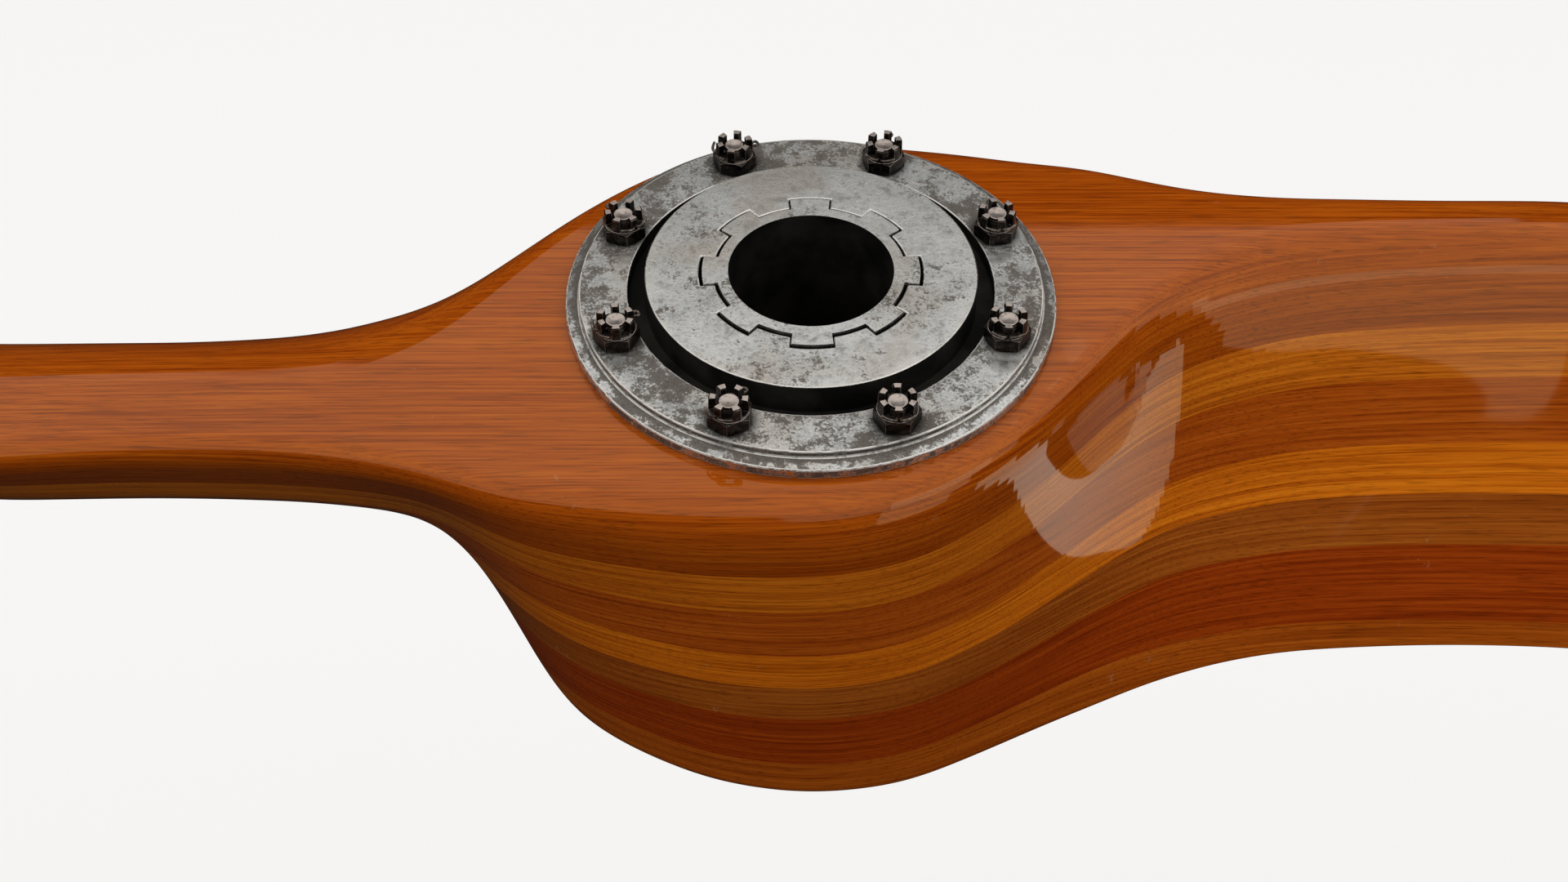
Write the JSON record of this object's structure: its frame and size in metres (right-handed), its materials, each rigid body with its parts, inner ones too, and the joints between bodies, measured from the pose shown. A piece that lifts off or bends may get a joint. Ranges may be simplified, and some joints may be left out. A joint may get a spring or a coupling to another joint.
{
  "type": "wooden propeller",
  "caption": "Fixed-pitch laminated wooden aircraft propeller, varnished, with a splined steel hub clamped by castle-nutted bolts.",
  "frame": {"origin": "on the shaft axis, in the plane of the hub's rear seat, which is the lowest face when the propeller lies flat", "axes": "+Z along the shaft axis towards the nose, where the castle nuts are; +X along one blade to its tip; +Y completes the right-handed frame"},
  "size_m": [2.5, 0.3, 0.202],
  "materials": {
    "wood_brown": "high-gloss clear varnish over fine straight grain",
    "wood_red": "high-gloss clear varnish over fine straight grain",
    "wood_olive": "high-gloss clear varnish over fine straight grain",
    "wood_amber": "high-gloss clear varnish over fine straight grain",
    "wood_russet": "high-gloss clear varnish over fine straight grain",
    "wood_ochre": "high-gloss clear varnish over fine straight grain",
    "hub_steel": "worn bare steel with cloudy grey and brown staining and bright edges",
    "fastener_steel": "dark oiled steel, worn bright on its edges",
    "pin_steel": "dull wire"
  },
  "bodies": {
    "root": {"board_1": "wood_brown", "board_2": "wood_red", "board_3": "wood_olive", "board_4": "wood_amber", "board_5": "wood_russet", "board_6": "wood_ochre", "board_7": "wood_russet", "hub_barrel": "hub_steel", "front_flange": "hub_steel", "hub_bolt_1": "fastener_steel", "castle_nut_1": "fastener_steel", "split_pin_1": "pin_steel", "hub_bolt_2": "fastener_steel", "castle_nut_2": "fastener_steel", "split_pin_2": "pin_steel", "hub_bolt_3": "fastener_steel", "castle_nut_3": "fastener_steel", "split_pin_3": "pin_steel", "hub_bolt_4": "fastener_steel", "castle_nut_4": "fastener_steel", "split_pin_4": "pin_steel", "hub_bolt_5": "fastener_steel", "castle_nut_5": "fastener_steel", "split_pin_5": "pin_steel", "hub_bolt_6": "fastener_steel", "castle_nut_6": "fastener_steel", "split_pin_6": "pin_steel", "hub_bolt_7": "fastener_steel", "castle_nut_7": "fastener_steel", "split_pin_7": "pin_steel", "hub_bolt_8": "fastener_steel", "castle_nut_8": "fastener_steel", "split_pin_8": "pin_steel"}
  },
  "joints": []
}
